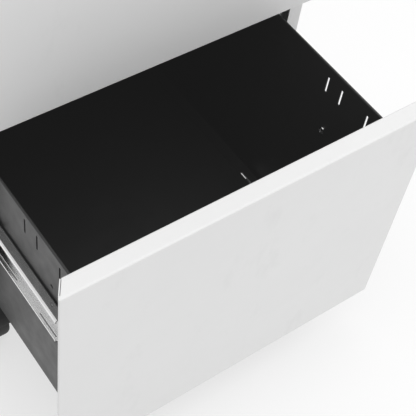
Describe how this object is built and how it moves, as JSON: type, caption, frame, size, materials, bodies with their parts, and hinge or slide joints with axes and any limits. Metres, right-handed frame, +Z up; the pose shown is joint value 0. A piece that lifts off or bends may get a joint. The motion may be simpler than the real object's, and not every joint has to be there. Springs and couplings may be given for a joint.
{
  "type": "mobile filing cabinet",
  "caption": "Mobile sheet-steel filing cabinet with box drawers above a file drawer, telescopic slides, a lock and swivelling casters.",
  "frame": {"origin": "on the floor, at the middle of the box of the object with its file drawer standing 163 mm open", "axes": "+Z up, +X to the right seen from the front, drawers open towards -Y"},
  "size_m": [0.39, 0.673, 0.683],
  "materials": {
    "carcass_paint": "fine-textured powder coat, white, satin",
    "front_paint": "powder coat, white, satin",
    "drawer_paint": "powder coat, black, satin",
    "zinc_plate": "bright zinc plate",
    "lock_chrome": "satin chrome",
    "caster_plastic": "moulded nylon, black",
    "caster_tyre": "moulded wheel, black"
  },
  "bodies": {
    "carcass": {"back_panel": "carcass_paint", "base_pan": "carcass_paint", "caster_plate_front_left": "zinc_plate", "caster_plate_front_right": "zinc_plate", "caster_plate_rear_left": "zinc_plate", "caster_plate_rear_right": "zinc_plate", "cross_rail_lower": "carcass_paint", "cross_rail_upper": "carcass_paint", "file_slide_cabinet_left": "zinc_plate", "file_slide_cabinet_right": "zinc_plate", "lock_barrel": "lock_chrome", "middle_slide_cabinet_left": "zinc_plate", "middle_slide_cabinet_right": "zinc_plate", "post_front_left": "zinc_plate", "post_front_right": "zinc_plate", "post_rear_left": "zinc_plate", "post_rear_right": "zinc_plate", "side_panel_left": "carcass_paint", "side_panel_right": "carcass_paint", "top_cap": "carcass_paint", "top_slide_cabinet_left": "zinc_plate", "top_slide_cabinet_right": "zinc_plate"},
    "lock_plug": {"lock_plug": "lock_chrome", "lock_cam": "zinc_plate"},
    "lock_bar": {"lock_bar": "zinc_plate"},
    "file_drawer": {"file_front": "front_paint", "file_front_liner": "drawer_paint", "file_drawer_box": "drawer_paint", "file_slide_drawer_left": "zinc_plate", "file_slide_drawer_right": "zinc_plate"},
    "file_slide_middle_left": {"file_slide_middle_left": "zinc_plate"},
    "file_slide_middle_right": {"file_slide_middle_right": "zinc_plate"},
    "middle_drawer": {"middle_front": "front_paint", "middle_front_liner": "drawer_paint", "middle_drawer_box": "drawer_paint", "middle_slide_drawer_left": "zinc_plate", "middle_slide_drawer_right": "zinc_plate"},
    "middle_slide_middle_left": {"middle_slide_middle_left": "zinc_plate"},
    "middle_slide_middle_right": {"middle_slide_middle_right": "zinc_plate"},
    "top_drawer": {"top_front": "front_paint", "top_front_liner": "drawer_paint", "top_drawer_box": "drawer_paint", "top_slide_drawer_left": "zinc_plate", "top_slide_drawer_right": "zinc_plate"},
    "top_slide_middle_left": {"top_slide_middle_left": "zinc_plate"},
    "top_slide_middle_right": {"top_slide_middle_right": "zinc_plate"},
    "caster_fork_front_left": {"caster_fork_front_left": "caster_plastic"},
    "caster_wheels_front_left": {"caster_wheel_a_front_left": "caster_tyre", "caster_wheel_b_front_left": "caster_tyre"},
    "caster_fork_front_right": {"caster_fork_front_right": "caster_plastic"},
    "caster_wheels_front_right": {"caster_wheel_a_front_right": "caster_tyre", "caster_wheel_b_front_right": "caster_tyre"},
    "caster_fork_rear_left": {"caster_fork_rear_left": "caster_plastic"},
    "caster_wheels_rear_left": {"caster_wheel_a_rear_left": "caster_tyre", "caster_wheel_b_rear_left": "caster_tyre"},
    "caster_fork_rear_right": {"caster_fork_rear_right": "caster_plastic"},
    "caster_wheels_rear_right": {"caster_wheel_a_rear_right": "caster_tyre", "caster_wheel_b_rear_right": "caster_tyre"}
  },
  "joints": [
    {"name": "file_drawer_slide", "type": "slide", "parent": "carcass", "child": "file_drawer", "axis": [0, -1, 0], "range_m": [-0.163, 0.277]},
    {"name": "file_middle_slide_left", "type": "slide", "parent": "carcass", "child": "file_slide_middle_left", "axis": [0, -1, 0], "range_m": [-0.0815, 0.1385]},
    {"name": "file_middle_slide_right", "type": "slide", "parent": "carcass", "child": "file_slide_middle_right", "axis": [0, -1, 0], "range_m": [-0.0815, 0.1385]},
    {"name": "middle_drawer_slide", "type": "slide", "parent": "carcass", "child": "middle_drawer", "axis": [0, -1, 0], "range_m": [0, 0.44]},
    {"name": "middle_middle_slide_left", "type": "slide", "parent": "carcass", "child": "middle_slide_middle_left", "axis": [0, -1, 0], "range_m": [0, 0.22]},
    {"name": "middle_middle_slide_right", "type": "slide", "parent": "carcass", "child": "middle_slide_middle_right", "axis": [0, -1, 0], "range_m": [0, 0.22]},
    {"name": "top_drawer_slide", "type": "slide", "parent": "carcass", "child": "top_drawer", "axis": [0, -1, 0], "range_m": [0, 0.44]},
    {"name": "top_middle_slide_left", "type": "slide", "parent": "carcass", "child": "top_slide_middle_left", "axis": [0, -1, 0], "range_m": [0, 0.22]},
    {"name": "top_middle_slide_right", "type": "slide", "parent": "carcass", "child": "top_slide_middle_right", "axis": [0, -1, 0], "range_m": [0, 0.22]},
    {"name": "lock_turn", "type": "hinge", "parent": "carcass", "child": "lock_plug", "pos_m": [0.178, -0.1735, 0.668], "axis": [0, 1, 0], "range_deg": [0, 90]},
    {"name": "lock_bar_drop", "type": "slide", "parent": "carcass", "child": "lock_bar", "axis": [0, 0, -1], "range_m": [0, 0.008]},
    {"name": "caster_swivel_front_left", "type": "hinge", "parent": "carcass", "child": "caster_fork_front_left", "pos_m": [-0.169, -0.1175, 0.052], "axis": [0, 0, 1], "continuous": true},
    {"name": "caster_roll_front_left", "type": "hinge", "parent": "caster_fork_front_left", "child": "caster_wheels_front_left", "pos_m": [-0.169, -0.1365, 0.025], "axis": [1, 0, 0], "continuous": true},
    {"name": "caster_swivel_front_right", "type": "hinge", "parent": "carcass", "child": "caster_fork_front_right", "pos_m": [0.169, -0.1175, 0.052], "axis": [0, 0, 1], "continuous": true},
    {"name": "caster_roll_front_right", "type": "hinge", "parent": "caster_fork_front_right", "child": "caster_wheels_front_right", "pos_m": [0.169, -0.1365, 0.025], "axis": [1, 0, 0], "continuous": true},
    {"name": "caster_swivel_rear_left", "type": "hinge", "parent": "carcass", "child": "caster_fork_rear_left", "pos_m": [-0.169, 0.2945, 0.052], "axis": [0, 0, 1], "continuous": true},
    {"name": "caster_roll_rear_left", "type": "hinge", "parent": "caster_fork_rear_left", "child": "caster_wheels_rear_left", "pos_m": [-0.169, 0.2755, 0.025], "axis": [1, 0, 0], "continuous": true},
    {"name": "caster_swivel_rear_right", "type": "hinge", "parent": "carcass", "child": "caster_fork_rear_right", "pos_m": [0.169, 0.2945, 0.052], "axis": [0, 0, 1], "continuous": true},
    {"name": "caster_roll_rear_right", "type": "hinge", "parent": "caster_fork_rear_right", "child": "caster_wheels_rear_right", "pos_m": [0.169, 0.2755, 0.025], "axis": [1, 0, 0], "continuous": true}
  ],
  "couplings": [
    {"joint": "file_middle_slide_left", "follows": "file_drawer_slide", "ratio": 0.5},
    {"joint": "file_middle_slide_right", "follows": "file_drawer_slide", "ratio": 0.5},
    {"joint": "middle_middle_slide_left", "follows": "middle_drawer_slide", "ratio": 0.5},
    {"joint": "middle_middle_slide_right", "follows": "middle_drawer_slide", "ratio": 0.5},
    {"joint": "top_middle_slide_left", "follows": "top_drawer_slide", "ratio": 0.5},
    {"joint": "top_middle_slide_right", "follows": "top_drawer_slide", "ratio": 0.5},
    {"joint": "lock_bar_drop", "follows": "lock_turn", "m_per_rad": 0.005092}
  ]
}
